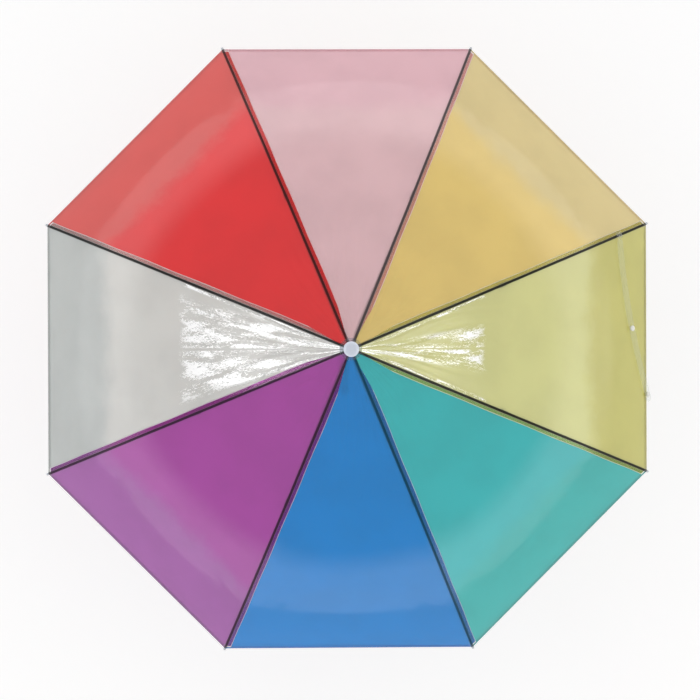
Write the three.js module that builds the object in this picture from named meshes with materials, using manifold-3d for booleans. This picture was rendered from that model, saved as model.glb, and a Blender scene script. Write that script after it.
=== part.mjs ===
// Children's umbrella: eight welded film panels on eight folding ribs.
// Millimetres, +Z up. The origin is on the shaft's axis at the middle of the hand grip.
import * as THREE from 'three';
import { mergeVertices } from 'three/addons/utils/BufferGeometryUtils.js';
import Module from 'manifold-3d';

// ---------------------------------------------------------------- driving dimensions
const GAP = 0.3; // clearance between pieces that touch on the real object
const OVERCUT = 1; // how far a cut runs past the face that it leaves through
const ROUND_SIDES = 24; // facets round a turned piece
const WIRE_SIDES = 5;
const RIVET_SIDES = 6;

const RIB_COUNT = 8;
const RIB_LENGTH = 500; // along the rib, from its crown pivot to the hem
const RIB_SLOPE_TOP = 13; // degrees below level at the crown
const RIB_SLOPE_TIP = 47; // degrees below level at the hem
const RIB_WIDTH = 3.2;
const RIB_HEIGHT = 2.6;
const RIB_WALL = 0.5;
const FOLD_ANGLE = 59.5; // degrees that a rib swings down when the umbrella closes

const CROWN_HEIGHT = 575; // the rib pivots' height above the middle of the grip
const PIVOT_RADIUS = 9; // the circle of pivots, on the crown and on the runner alike
const TONGUE_THICKNESS = 1.4; // the flattened ends that turn in the crown and the runner
const EYE_RADIUS = 1.8;
const WIRE_RADIUS = 0.6;
const NOTCH_RADIUS = 10.5;
const NOTCH_TOP = 2.6; // above the pivots
const NOTCH_BOTTOM = 7; // below the pivots
const NOTCH_CHAMFER = 1;

const SHAFT_RADIUS = 4;
const SHAFT_WALL = 0.6;
const SHAFT_TOP = 29; // above the pivots
const SHAFT_BOTTOM = -38;

// Where the stretcher's clip sits along the rib: this share of the crown's height
// leaves room for the grip below the closed runner.
const CLIP_STATION = (CROWN_HEIGHT * 43) / 115;
const CLIP_DROP = RIB_HEIGHT / 2 + 3.2; // from the rib's middle down to the clip's rivet
const CLIP_LENGTH = 10;
const CLIP_WALL = 0.7;
const CLIP_CHEEK_TOP = 1.5; // how far the cheeks' full length reaches below the rib
const CLIP_CHEEK_FOOT = 1.8; // the cheeks' reach past the rivet, and half their foot's length
const RIVET_RADIUS = 0.75;
const RIVET_HEAD_RADIUS = 1.3;
const RIVET_HEAD = 0.3; // how far a head stands out of its cheek
const STRETCHER_WIDTH = 2.8;
const STRETCHER_HEIGHT = 2.2;
const STRETCHER_WALL = 0.5;

// Where a channel gives way to its flattened end, along the rib or the stretcher.
const CHANNEL_START = 12;
const CHANNEL_END = 12;
const RIVET_CHANNEL_END = 9;
const TONGUE_OVERLAP = 6; // how far a flattened end runs on inside its channel
const TONGUE_INSET = 0.1; // its edges lie this far inside the channel's height

const TIP_RADIUS = 1.9;
const TIP_WALL = 0.5;
const TIP_LENGTH = 17;
const TIP_REACH = 7.5; // how far a tip stands past the hem
const TIP_SIDES = 8;
const PIN_RADIUS = TIP_RADIUS - TIP_WALL - 0.35; // the rib's own end, inside the tip
const PIN_INSET = 2; // its end, back from the hem
const TIP_FLOOR = 1; // the bore's end, past the hem

const FILM_THICKNESS = 0.8;
const FILM_SAG = 4; // how far a panel dips between its ribs
const FILM_INNER_RADIUS = 6.4;
const FILM_RIB_GAP = 0.9; // the film bridges each rib's corners
const CROWN_LIFT = 1.6; // the film rises over the crown
const CROWN_LIFT_REACH = 20; // and comes down again over about this length
const SEAM_CLEARANCE = 0.05; // on top of half a gap at each side of a rib

const WASHER_RADIUS = 14;
const WASHER_THICKNESS = 1.2;
const WASHER_CLEARANCE = 0.5; // above the film
const WASHER_EDGE = 0.4;
const CAP_RADIUS = 9.5;
const CAP_NECK_RADIUS = 6.2;
const CAP_FLAT_RADIUS = 5.5;
const CAP_TOP = 40; // above the pivots
const CAP_HEAD = 12;
const CAP_EDGE = 4; // rounding of the cap's rim
const CAP_SKIRT_RADIUS = 8.5;
const CAP_SKIRT = 2;
const CAP_SKIRT_SLOPE = 3;
const CAP_SHOULDER = 2; // the head's underside widens over this height, twice
const CAP_SHOULDER_INSET = 0.8;

const RUNNER_SLEEVE = 34; // below its pivots
const RUNNER_SLEEVE_RADIUS = 7.2;
const RUNNER_RIM_RADIUS = 10;
const RUNNER_RIM = 3;
const RUNNER_BORE_GAP = 0.4;
const RUNNER_CHAMFER = 0.8;
const RUNNER_RIM_SLOPE = 2;
const RUNNER_FLANGE_TOP = 2.9; // above its pivots
const RUNNER_FLANGE_BOTTOM = 4; // below its pivots
const RUNNER_FLANGE_SLOPE = 2.5;
const WINDOW_DROP = 20; // from the runner's pivots to the middle of its window

const CATCH_REACH = 3.4; // how far a catch stands out of the shaft
const CATCH_WIDTH = 1.6;
const CATCH_HEIGHT = 11;
const CATCH_LEAF = 30; // the spring leaf's length inside the shaft
const CATCH_LEAF_DEPTH = 0.6 * SHAFT_RADIUS;
const CATCH_LIP = 2; // the square end of the wedge

const GRIP_RADIUS = 10;
const GRIP_HALF_LENGTH = 45;
const HOOK_RADIUS = 32; // the hook's middle line
const HOOK_TIP_RADIUS = 8.6;
const HOOK_END = 14; // the straight end past the hook's bend
const HOOK_FLAT = 0.245; // the flat at its very end, as a share of its radius
const HOOK_AZIMUTH = -90;
const COLLAR_LENGTH = 12;
const COLLAR_TOP_RADIUS = SHAFT_RADIUS + 2.5;
const COLLAR_BAND = 3; // its straight lower part
const COLLAR_CHAMFER = 1;

const STRAP_LENGTH = 230;
const STRAP_WIDTH = 12.5;
const STRAP_THICKNESS = 0.8;
const STRAP_STATION = RIB_LENGTH - 68; // along the rib that holds its tab
const STRAP_LIFT = 2; // above the film
const STRAP_TURN_START = 9; // degrees from the hem's direction at the tab
const STRAP_TURN_END = 28; // and at its free end
const TAB_LENGTH = 11;
const TAB_WIDTH = 9;
const TAB_DROOP = 0.15; // the tab's fall for its width, each side of the seam
const SNAP_RADIUS = 3.8;
const SNAP_POST_RADIUS = 1.5;
const SNAP_CAP = [0.7, 1.5, 1.8]; // heights of the cap's rim, shoulder and crown above the strap
const SNAP_CAP_INSET = 0.9;
const SNAP_BACK = 1.1; // thickness of the ring below the strap
const SNAP_BACK_INSET = [0.6, 1]; // of the ring's two faces
const SNAP_SIDES = 14;
const SNAP_STATIONS = [122, 219]; // along the strap

// ---------------------------------------------------------------- derived sizes
const radians = THREE.MathUtils.degToRad;
const STEP = 360 / RIB_COUNT;
const HALF_STEP = radians(STEP / 2);
const BORE_RADIUS = SHAFT_RADIUS + GAP;
const RIB_TOP = RIB_HEIGHT / 2;
const FILM_OFFSET = RIB_TOP + FILM_RIB_GAP;

const wasm = await Module();
wasm.setup();

// A point of a rib's own plane: how far out and how high, for a length along the rib
// and an offset outward from its middle line. The rib is one arc.
function ribPoint(along, offset = 0) {
  const top = radians(RIB_SLOPE_TOP);
  const tip = radians(RIB_SLOPE_TIP);
  const slope = top + ((tip - top) * along) / RIB_LENGTH;
  const bend = RIB_LENGTH / (tip - top);
  return {
    out: PIVOT_RADIUS + bend * (Math.sin(slope) - Math.sin(top)) + offset * Math.sin(slope),
    up: CROWN_HEIGHT - bend * (Math.cos(top) - Math.cos(slope)) + offset * Math.cos(slope),
    slope,
  };
}

// The length along the rib whose point is this far out.
function ribStation(out) {
  const top = radians(RIB_SLOPE_TOP);
  const bend = RIB_LENGTH / (radians(RIB_SLOPE_TIP) - top);
  return (Math.asin(Math.sin(top) + (out - PIVOT_RADIUS) / bend) - top) * bend;
}

// The stretcher is as long as its rivet is far from the crown pivot, so the runner's
// pivots keep to the crown's circle at every angle.
const RIVET = ribPoint(CLIP_STATION, -CLIP_DROP);
const LINK_OUT = RIVET.out - PIVOT_RADIUS;
const LINK_DOWN = CROWN_HEIGHT - RIVET.up;
const LINK_LENGTH = Math.hypot(LINK_OUT, LINK_DOWN);
const LINK_ANGLE = Math.atan2(LINK_DOWN, LINK_OUT);
const RUNNER_OPEN = CROWN_HEIGHT - 2 * LINK_DOWN;
const RUNNER_CLOSED = CROWN_HEIGHT - 2 * LINK_LENGTH * Math.sin(LINK_ANGLE + radians(FOLD_ANGLE));
const UPPER_CATCH_HEIGHT = RUNNER_OPEN - RUNNER_SLEEVE - GAP - CATCH_HEIGHT / 2;
const LOWER_CATCH_HEIGHT = RUNNER_CLOSED - WINDOW_DROP;

// ---------------------------------------------------------------- geometry helpers
function moved(geometry, place) {
  const points = geometry.attributes.position;
  for (let i = 0; i < points.count; i++) {
    const point = place(points.getX(i), points.getY(i), points.getZ(i));
    points.setXYZ(i, point.x, point.y, point.z);
  }
  return geometry;
}

function bare(geometry) {
  geometry.deleteAttribute('normal');
  geometry.deleteAttribute('uv');
  return mergeVertices(geometry, 1e-3);
}

function toSolid(geometry) {
  const merged = bare(geometry);
  const mesh = new wasm.Mesh({
    numProp: 3,
    vertProperties: new Float32Array(merged.attributes.position.array),
    triVerts: new Uint32Array(merged.index.array),
  });
  return new wasm.Manifold(mesh);
}

function toGeometry(solid) {
  const mesh = solid.getMesh();
  const geometry = new THREE.BufferGeometry();
  geometry.setAttribute('position', new THREE.BufferAttribute(mesh.vertProperties, 3));
  geometry.setIndex(new THREE.BufferAttribute(mesh.triVerts, 1));
  return geometry;
}

function joined(...geometries) {
  return toGeometry(geometries.map(toSolid).reduce((whole, next) => whole.add(next)));
}

function cut(geometry, ...tools) {
  return toGeometry(tools.map(toSolid).reduce((rest, tool) => rest.subtract(tool), toSolid(geometry)));
}

// A closed outline turned about the Z axis; each point is [radius, height].
function turned(outline, sides) {
  const points = outline.map(([radius, height]) => new THREE.Vector2(radius, height));
  return new THREE.LatheGeometry(points, sides).rotateX(Math.PI / 2);
}

// An outline carried through stations; place gives the point for (x, y, station).
function swept(outline, stations, place) {
  const steps = stations.length - 1;
  const geometry = new THREE.ExtrudeGeometry(outline, {
    depth: steps,
    steps,
    bevelEnabled: false,
    curveSegments: 4,
  });
  return moved(geometry, (x, y, z) => place(x, y, stations[Math.round(z)]));
}

function evenStations(start, end, steps) {
  return Array.from({ length: steps + 1 }, (_, i) => start + ((end - start) * i) / steps);
}

function circle(radius, sides) {
  const shape = new THREE.Shape();
  for (let i = 0; i < sides; i++) {
    const angle = (2 * Math.PI * i) / sides;
    shape[i ? 'lineTo' : 'moveTo'](radius * Math.cos(angle), radius * Math.sin(angle));
  }
  shape.closePath();
  return shape;
}

function polygon(corners) {
  return new THREE.Shape(corners.map(([x, y]) => new THREE.Vector2(x, y)));
}

function box(sizeX, sizeY, sizeZ, x, y, z) {
  return new THREE.BoxGeometry(sizeX, sizeY, sizeZ).translate(x, y, z);
}

// A channel's section, open downward.
function channel(width, height, wall) {
  const side = width / 2;
  const half = height / 2;
  return polygon([
    [-side, -half],
    [-side + wall, -half],
    [-side + wall, half - wall],
    [side - wall, half - wall],
    [side - wall, -half],
    [side, -half],
    [side, half],
    [-side, half],
  ]);
}

// Rib coordinates: x across the rib, y outward from it, station along it.
function onRib(x, y, along) {
  const { out, up } = ribPoint(along, y);
  return new THREE.Vector3(out, x, up);
}

// A flat plate in a rib's plane: the outline is along the rib and outward from it.
function ribPlate(outline, thickness, middle = 0) {
  const geometry = new THREE.ExtrudeGeometry(outline, { depth: 1, bevelEnabled: false });
  return moved(geometry, (x, y, z) => {
    const { out, up } = ribPoint(x, y);
    return new THREE.Vector3(out, middle + (0.5 - z) * thickness, up);
  });
}

// A flat plate in the X-Z plane.
function flatPlate(outline, thickness) {
  const geometry = new THREE.ExtrudeGeometry(outline, { depth: 1, bevelEnabled: false });
  return moved(geometry, (x, y, z) => new THREE.Vector3(x, (0.5 - z) * thickness, y));
}

// A tongue with an eye at its start, for the pivot wire or a rivet.
function tongueOutline(length, halfHeight, eyeRadius, holeRadius) {
  const outline = new THREE.Shape();
  const reach = Math.asin(halfHeight / eyeRadius);
  const sides = 10;
  outline.moveTo(length, -halfHeight);
  outline.lineTo(length, halfHeight);
  for (let i = 0; i <= sides; i++) {
    const angle = reach + ((2 * Math.PI - 2 * reach) * i) / sides;
    outline.lineTo(eyeRadius * Math.cos(angle), eyeRadius * Math.sin(angle));
  }
  outline.closePath();
  outline.holes.push(circle(holeRadius, 8));
  return outline;
}

// ---------------------------------------------------------------- materials
function finish(color, roughness, metalness = 0) {
  return new THREE.MeshStandardMaterial({ color, roughness, metalness });
}

const steelBlack = finish(0x1c1c1e, 0.4, 0.6);
const steelBright = finish(0xc9ccd1, 0.3, 0.9);
const plasticWhite = finish(0xe6e9ee, 0.35);
const tipGrey = finish(0xb9bdc4, 0.4);
const filmClear = finish(0xcfd0cc, 0.2);
const FILM_COLOURS = {
  amber: 0xd8bd72,
  pink: 0xd8acb0,
  red: 0xd8443f,
  clear: 0xcfd0cc,
  purple: 0x9b489c,
  blue: 0x0f85c4,
  teal: 0x3aaaab,
  lime: 0xcfcf8e,
};

const umbrella = new THREE.Group();
umbrella.name = 'childrens_umbrella';

function add(parent, name, geometry, material) {
  const mesh = new THREE.Mesh(geometry, material);
  mesh.name = name;
  parent.add(mesh);
  return mesh;
}

function ribAzimuth(index) {
  return radians(STEP * (index + 0.5));
}

// ---------------------------------------------------------------- shaft and crown
function catchSlot(height) {
  const slotHeight = CATCH_HEIGHT + 2 * GAP;
  return box(SHAFT_RADIUS, CATCH_WIDTH + 2 * GAP, slotHeight, SHAFT_RADIUS, 0, height);
}

function shaftTube() {
  const inner = SHAFT_RADIUS - SHAFT_WALL;
  const top = CROWN_HEIGHT + SHAFT_TOP;
  const outline = [
    [inner, SHAFT_BOTTOM],
    [SHAFT_RADIUS, SHAFT_BOTTOM],
    [SHAFT_RADIUS, top],
    [inner, top],
    [inner, SHAFT_BOTTOM],
  ];
  return cut(turned(outline, ROUND_SIDES), catchSlot(UPPER_CATCH_HEIGHT), catchSlot(LOWER_CATCH_HEIGHT));
}

// Eight slots for the tongues, around a hub.
function tongueSlots(bottom, top) {
  const inner = PIVOT_RADIUS - EYE_RADIUS - GAP;
  const length = NOTCH_RADIUS + OVERCUT - inner;
  return Array.from({ length: RIB_COUNT }, (_, i) => {
    const slot = box(length, TONGUE_THICKNESS + 2 * GAP, top - bottom, inner + length / 2, 0, 0);
    return slot.translate(0, 0, (top + bottom) / 2).rotateZ(ribAzimuth(i));
  });
}

// The hub's groove that the pivot wire lies in, as outline points from bottom to top.
function wireGroove(height) {
  const floor = PIVOT_RADIUS - WIRE_RADIUS - GAP;
  const half = WIRE_RADIUS + GAP;
  return [
    [NOTCH_RADIUS, height - half],
    [floor, height - half],
    [floor, height + half],
    [NOTCH_RADIUS, height + half],
  ];
}

function topNotch() {
  const bottom = CROWN_HEIGHT - NOTCH_BOTTOM;
  const top = CROWN_HEIGHT + NOTCH_TOP;
  const outline = [
    [BORE_RADIUS, bottom],
    [NOTCH_RADIUS - NOTCH_CHAMFER, bottom],
    [NOTCH_RADIUS, bottom + NOTCH_CHAMFER],
    ...wireGroove(CROWN_HEIGHT),
    [NOTCH_RADIUS, top],
    [BORE_RADIUS, top],
    [BORE_RADIUS, bottom],
  ];
  return cut(turned(outline, ROUND_SIDES), ...tongueSlots(bottom - OVERCUT, top + OVERCUT));
}

function pivotWire(height) {
  return new THREE.TorusGeometry(PIVOT_RADIUS, WIRE_RADIUS, WIRE_SIDES, ROUND_SIDES).translate(0, 0, height);
}

// The film's distance from the rib's middle line; it rises over the crown.
function filmOffset(along) {
  return FILM_OFFSET + CROWN_LIFT * Math.exp(-Math.max(along, 0) / CROWN_LIFT_REACH);
}

// The film's outer face above the crown, at a distance from the axis.
function filmTop(out) {
  const along = ribStation(out);
  return ribPoint(along, filmOffset(along) + FILM_THICKNESS).up;
}

// A dished washer that clamps the film round its centre hole.
function crownWasher() {
  const outer = filmTop(WASHER_RADIUS) + WASHER_CLEARANCE;
  const inner = filmTop(BORE_RADIUS) + WASHER_CLEARANCE;
  const outline = [
    [BORE_RADIUS, inner],
    [WASHER_RADIUS - WASHER_EDGE, outer],
    [WASHER_RADIUS, outer + WASHER_THICKNESS / 2],
    [WASHER_RADIUS - WASHER_EDGE, outer + WASHER_THICKNESS],
    [BORE_RADIUS, inner + WASHER_THICKNESS],
    [BORE_RADIUS, inner],
  ];
  return turned(outline, ROUND_SIDES);
}

// The ferrule: a skirt on the washer, a neck, and a blunt round head.
function ferruleCap() {
  const bottom = filmTop(BORE_RADIUS) + WASHER_CLEARANCE + WASHER_THICKNESS + GAP;
  const top = CROWN_HEIGHT + CAP_TOP;
  const head = top - CAP_HEAD;
  const outline = [
    [BORE_RADIUS, bottom],
    [CAP_SKIRT_RADIUS, bottom],
    [CAP_SKIRT_RADIUS, bottom + CAP_SKIRT],
    [CAP_NECK_RADIUS, bottom + CAP_SKIRT + CAP_SKIRT_SLOPE],
    [CAP_NECK_RADIUS, head],
    [CAP_RADIUS - CAP_SHOULDER_INSET, head + CAP_SHOULDER],
    [CAP_RADIUS, head + 2 * CAP_SHOULDER],
  ];
  for (let i = 0; i <= 4; i++) {
    const angle = (Math.PI / 2) * (i / 4);
    const inset = (CAP_RADIUS - CAP_FLAT_RADIUS) * (1 - Math.cos(angle));
    outline.push([CAP_RADIUS - inset, top - CAP_EDGE + CAP_EDGE * Math.sin(angle)]);
  }
  const socket = CROWN_HEIGHT + SHAFT_TOP + GAP;
  outline.push([0, top], [0, socket], [BORE_RADIUS, socket], [BORE_RADIUS, bottom]);
  return turned(outline, ROUND_SIDES);
}

// ---------------------------------------------------------------- runner and catches
function runnerBody() {
  const bore = SHAFT_RADIUS + RUNNER_BORE_GAP;
  const bottom = RUNNER_OPEN - RUNNER_SLEEVE;
  const top = RUNNER_OPEN + RUNNER_FLANGE_TOP;
  const outline = [
    [bore, bottom],
    [RUNNER_RIM_RADIUS - RUNNER_CHAMFER, bottom],
    [RUNNER_RIM_RADIUS, bottom + RUNNER_CHAMFER],
    [RUNNER_RIM_RADIUS, bottom + RUNNER_RIM],
    [RUNNER_SLEEVE_RADIUS, bottom + RUNNER_RIM + RUNNER_RIM_SLOPE],
    [RUNNER_SLEEVE_RADIUS, RUNNER_OPEN - RUNNER_FLANGE_BOTTOM - RUNNER_FLANGE_SLOPE],
    [NOTCH_RADIUS, RUNNER_OPEN - RUNNER_FLANGE_BOTTOM],
    ...wireGroove(RUNNER_OPEN),
    [NOTCH_RADIUS, top],
    [bore, top],
    [bore, bottom],
  ];
  const window = box(SHAFT_RADIUS * 2, CATCH_WIDTH + 4 * GAP, CATCH_HEIGHT + 4 * GAP, 0, 0, 0);
  window.translate(SHAFT_RADIUS * 2, 0, RUNNER_OPEN - WINDOW_DROP);
  const slots = tongueSlots(RUNNER_OPEN - EYE_RADIUS - GAP, top + OVERCUT);
  return cut(turned(outline, ROUND_SIDES), ...slots, window);
}

// A spring leaf inside the shaft with a wedge nose that stands out through a slot.
// The wedge's square end holds the runner; its slope lets the runner pass over.
function springCatch(height, holdsFromBelow) {
  const back = SHAFT_RADIUS - SHAFT_WALL - GAP - CATCH_LEAF_DEPTH;
  const face = SHAFT_RADIUS - SHAFT_WALL - GAP;
  const nose = SHAFT_RADIUS + CATCH_REACH;
  const half = CATCH_HEIGHT / 2;
  const flip = holdsFromBelow ? 1 : -1;
  const corners = [
    [back, -CATCH_LEAF / 2],
    [face, -CATCH_LEAF / 2],
    [face, -half],
    [SHAFT_RADIUS, -half],
    [nose, half - CATCH_LIP],
    [nose, half],
    [face, half],
    [face, CATCH_LEAF / 2],
    [back, CATCH_LEAF / 2],
  ].map(([x, z]) => [x, height + flip * z]);
  const outline = polygon(flip > 0 ? corners : corners.reverse());
  return flatPlate(outline, CATCH_WIDTH);
}

// ---------------------------------------------------------------- ribs and stretchers
function ribSolid() {
  const section = channel(RIB_WIDTH, RIB_HEIGHT, RIB_WALL);
  const end = RIB_LENGTH - CHANNEL_END;
  const beam = swept(section, evenStations(CHANNEL_START, end, 14), onRib);
  const reach = CHANNEL_START + TONGUE_OVERLAP;
  const tongue = tongueOutline(reach, RIB_TOP - TONGUE_INSET, EYE_RADIUS, WIRE_RADIUS + GAP);
  const pin = swept(circle(PIN_RADIUS, TIP_SIDES), [end - TONGUE_OVERLAP, RIB_LENGTH - PIN_INSET], onRib);
  return joined(beam, ribPlate(tongue, TONGUE_THICKNESS), pin);
}

// A sleeve with a round end, pushed over the rib's pin.
function tipSolid() {
  const bore = TIP_RADIUS - TIP_WALL;
  const depth = TIP_LENGTH - TIP_REACH - TIP_FLOOR;
  const outline = [
    [bore, 0],
    [TIP_RADIUS, 0],
  ];
  for (let i = 0; i < 3; i++) {
    const angle = (Math.PI / 2) * (i / 3);
    outline.push([TIP_RADIUS * Math.cos(angle), TIP_LENGTH - TIP_RADIUS * (1 - Math.sin(angle))]);
  }
  outline.push([0, TIP_LENGTH], [0, depth], [bore, depth], [bore, 0]);
  return turned(outline, TIP_SIDES);
}

function addTip(parent, name) {
  const tip = add(parent, name, tipSolid(), tipGrey);
  const { out, up, slope } = ribPoint(RIB_LENGTH - TIP_LENGTH + TIP_REACH);
  tip.position.set(out, 0, up);
  tip.rotation.y = Math.PI / 2 + slope;
}

// Two cheeks beside the rib, a bridge under it, and the rivet that the stretcher turns on.
function clipSolid() {
  const inner = RIB_WIDTH / 2 + GAP;
  const start = CLIP_STATION - CLIP_LENGTH / 2;
  const end = CLIP_STATION + CLIP_LENGTH / 2;
  const bottom = -CLIP_DROP - CLIP_CHEEK_FOOT;
  const cheek = polygon([
    [start, -RIB_TOP - CLIP_CHEEK_TOP],
    [CLIP_STATION - CLIP_CHEEK_FOOT, bottom],
    [CLIP_STATION + CLIP_CHEEK_FOOT, bottom],
    [end, -RIB_TOP - CLIP_CHEEK_TOP],
    [end, RIB_TOP],
    [start, RIB_TOP],
  ]);
  const bridge = polygon([
    [start, -RIB_TOP - GAP - CLIP_WALL],
    [end, -RIB_TOP - GAP - CLIP_WALL],
    [end, -RIB_TOP - GAP],
    [start, -RIB_TOP - GAP],
  ]);
  const rivet = new THREE.CylinderGeometry(RIVET_RADIUS, RIVET_RADIUS, 2 * inner + CLIP_WALL, RIVET_SIDES);
  const head = CLIP_WALL / 2 + RIVET_HEAD;
  const heads = [-1, 1].map((side) => {
    const button = new THREE.CylinderGeometry(RIVET_HEAD_RADIUS, RIVET_HEAD_RADIUS, head, RIVET_SIDES);
    return button.translate(RIVET.out, side * (inner + CLIP_WALL / 2 + head / 2), RIVET.up);
  });
  return joined(
    ribPlate(cheek, CLIP_WALL, inner + CLIP_WALL / 2),
    ribPlate(cheek, CLIP_WALL, -inner - CLIP_WALL / 2),
    ribPlate(bridge, 2 * inner + CLIP_WALL),
    rivet.translate(RIVET.out, 0, RIVET.up),
    ...heads,
  );
}

// A straight channel with a flat eye at each end; its own X axis runs from runner to rib.
function stretcherSolid() {
  const section = channel(STRETCHER_WIDTH, STRETCHER_HEIGHT, STRETCHER_WALL);
  const stations = [CHANNEL_START, LINK_LENGTH - RIVET_CHANNEL_END];
  const beam = swept(section, stations, (x, y, along) => new THREE.Vector3(along, x, y));
  const halfHeight = STRETCHER_HEIGHT / 2 - TONGUE_INSET;
  const innerLength = CHANNEL_START + TONGUE_OVERLAP;
  const inner = tongueOutline(innerLength, halfHeight, EYE_RADIUS, WIRE_RADIUS + GAP);
  const outerLength = RIVET_CHANNEL_END + TONGUE_OVERLAP;
  const outer = tongueOutline(outerLength, halfHeight, EYE_RADIUS, RIVET_RADIUS + GAP);
  const outerEnd = flatPlate(outer, TONGUE_THICKNESS).rotateZ(Math.PI).translate(LINK_LENGTH, 0, 0);
  return joined(beam, flatPlate(inner, TONGUE_THICKNESS), outerEnd);
}

function addStretcher(parent, name) {
  const stretcher = add(parent, name, stretcherSolid(), steelBlack);
  stretcher.position.set(PIVOT_RADIUS, 0, RUNNER_OPEN);
  stretcher.rotation.y = -LINK_ANGLE;
}

// ---------------------------------------------------------------- film panels
// A point of a panel whose middle is on the X axis: along its ribs, across, outward.
function filmPoint(along, across, outward) {
  const { out, up, slope } = ribPoint(along, filmOffset(along) + outward);
  const half = out * Math.sin(HALF_STEP);
  const share = THREE.MathUtils.clamp(along / RIB_LENGTH, 0, 1);
  const dip = FILM_SAG * Math.sin(Math.PI * share) * (1 - (across / half) ** 2);
  return new THREE.Vector3(
    out * Math.cos(HALF_STEP) - dip * Math.sin(slope),
    across,
    up - dip * Math.cos(slope),
  );
}

function panelSolid() {
  const start = ribStation(FILM_INNER_RADIUS);
  const near = CROWN_LIFT_REACH / 2;
  const stations = [start, near, ...evenStations(3 * near, RIB_LENGTH, 13)];
  const steps = stations.length - 1;
  const geometry = new THREE.BoxGeometry(1, 2, 1, steps, 4, 1);
  const inset = GAP / 2 / Math.cos(HALF_STEP) + SEAM_CLEARANCE;
  return moved(geometry, (x, y, z) => {
    const along = stations[Math.round((x + 0.5) * steps)];
    const outward = (z + 0.5) * FILM_THICKNESS;
    const half = ribPoint(along, filmOffset(along) + outward).out * Math.sin(HALF_STEP) - inset;
    return filmPoint(along, y * half, outward);
  });
}

// ---------------------------------------------------------------- closing strap
// The strap's middle line on the film: along the ribs, across, and its heading.
function strapLine(length) {
  const start = radians(STRAP_TURN_START);
  const rate = (radians(STRAP_TURN_END) - start) / STRAP_LENGTH;
  const heading = start + rate * length;
  const edge = ribPoint(STRAP_STATION, filmOffset(STRAP_STATION)).out * Math.sin(HALF_STEP);
  return {
    along: STRAP_STATION + (Math.cos(start) - Math.cos(heading)) / rate,
    across: edge - TAB_WIDTH / 2 - GAP - (Math.sin(heading) - Math.sin(start)) / rate,
    heading,
  };
}

function strapPoint(length, side, outward) {
  const { along, across, heading } = strapLine(length);
  return filmPoint(
    along + side * Math.cos(heading),
    across + side * Math.sin(heading),
    FILM_THICKNESS + STRAP_LIFT + outward,
  );
}

function strapNormal(length) {
  return strapPoint(length, 0, 1).sub(strapPoint(length, 0, 0)).normalize();
}

function strapSolid() {
  const steps = 14;
  const geometry = new THREE.BoxGeometry(1, 1, 1, steps, 2, 1);
  const strip = moved(geometry, (x, y, z) =>
    strapPoint((x + 0.5) * STRAP_LENGTH, y * STRAP_WIDTH, (z + 0.5) * STRAP_THICKNESS),
  );
  const holes = SNAP_STATIONS.map((length) => {
    const hole = new THREE.CylinderGeometry(SNAP_POST_RADIUS + GAP, SNAP_POST_RADIUS + GAP, 4, 10);
    const turn = new THREE.Quaternion().setFromUnitVectors(new THREE.Vector3(0, 1, 0), strapNormal(length));
    const at = strapPoint(length, 0, STRAP_THICKNESS / 2);
    return hole.applyQuaternion(turn).translate(at.x, at.y, at.z);
  });
  return cut(strip, ...holes);
}

// A snap fastener: a cap above the strap, a post through it, and a ring below it.
function snapSolid() {
  const above = STRAP_THICKNESS / 2 + GAP;
  const outline = [
    [0, -above - SNAP_BACK],
    [SNAP_RADIUS - SNAP_BACK_INSET[1], -above - SNAP_BACK],
    [SNAP_RADIUS - SNAP_BACK_INSET[0], -above],
    [SNAP_POST_RADIUS, -above],
    [SNAP_POST_RADIUS, above],
    [SNAP_RADIUS, above],
    [SNAP_RADIUS, above + SNAP_CAP[0]],
    [SNAP_RADIUS - SNAP_CAP_INSET, above + SNAP_CAP[1]],
    [0, above + SNAP_CAP[2]],
  ];
  return turned(outline, SNAP_SIDES);
}

function addSnap(parent, name, length) {
  const snap = add(parent, name, snapSolid(), plasticWhite);
  snap.position.copy(strapPoint(length, 0, STRAP_THICKNESS / 2));
  snap.quaternion.setFromUnitVectors(new THREE.Vector3(0, 0, 1), strapNormal(length));
}

// The tab folded over the seam, that the strap hangs from.
function tabSolid() {
  const geometry = new THREE.BoxGeometry(TAB_LENGTH, TAB_WIDTH, STRAP_THICKNESS, 1, 2, 1);
  const base = filmOffset(STRAP_STATION) + FILM_THICKNESS + STRAP_LIFT;
  return moved(geometry, (x, y, z) => {
    const droop = TAB_DROOP * Math.abs(y);
    return onRib(y, base + z - droop, STRAP_STATION + x);
  });
}

// ---------------------------------------------------------------- handle
function hookPoint(x, y, travel) {
  const bend = Math.PI * HOOK_RADIUS;
  const along = travel - 2 * GRIP_HALF_LENGTH;
  const total = bend + HOOK_END;
  const thin = THREE.MathUtils.clamp(along / total, 0, 1);
  const nearEnd = Math.max(0, along - total + HOOK_TIP_RADIUS) / HOOK_TIP_RADIUS;
  const round = Math.sqrt(Math.max(HOOK_FLAT ** 2, 1 - nearEnd ** 2));
  const scale = (1 + (HOOK_TIP_RADIUS / GRIP_RADIUS - 1) * thin) * round;
  const side = y * scale;
  if (along <= 0) {
    return new THREE.Vector3(side, x * scale, GRIP_HALF_LENGTH - travel);
  }
  const angle = Math.min(along / HOOK_RADIUS, Math.PI);
  const reach = HOOK_RADIUS - side;
  const rise = Math.max(0, along - bend);
  return new THREE.Vector3(
    HOOK_RADIUS - reach * Math.cos(angle),
    x * scale,
    -GRIP_HALF_LENGTH - reach * Math.sin(angle) + rise,
  );
}

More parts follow.
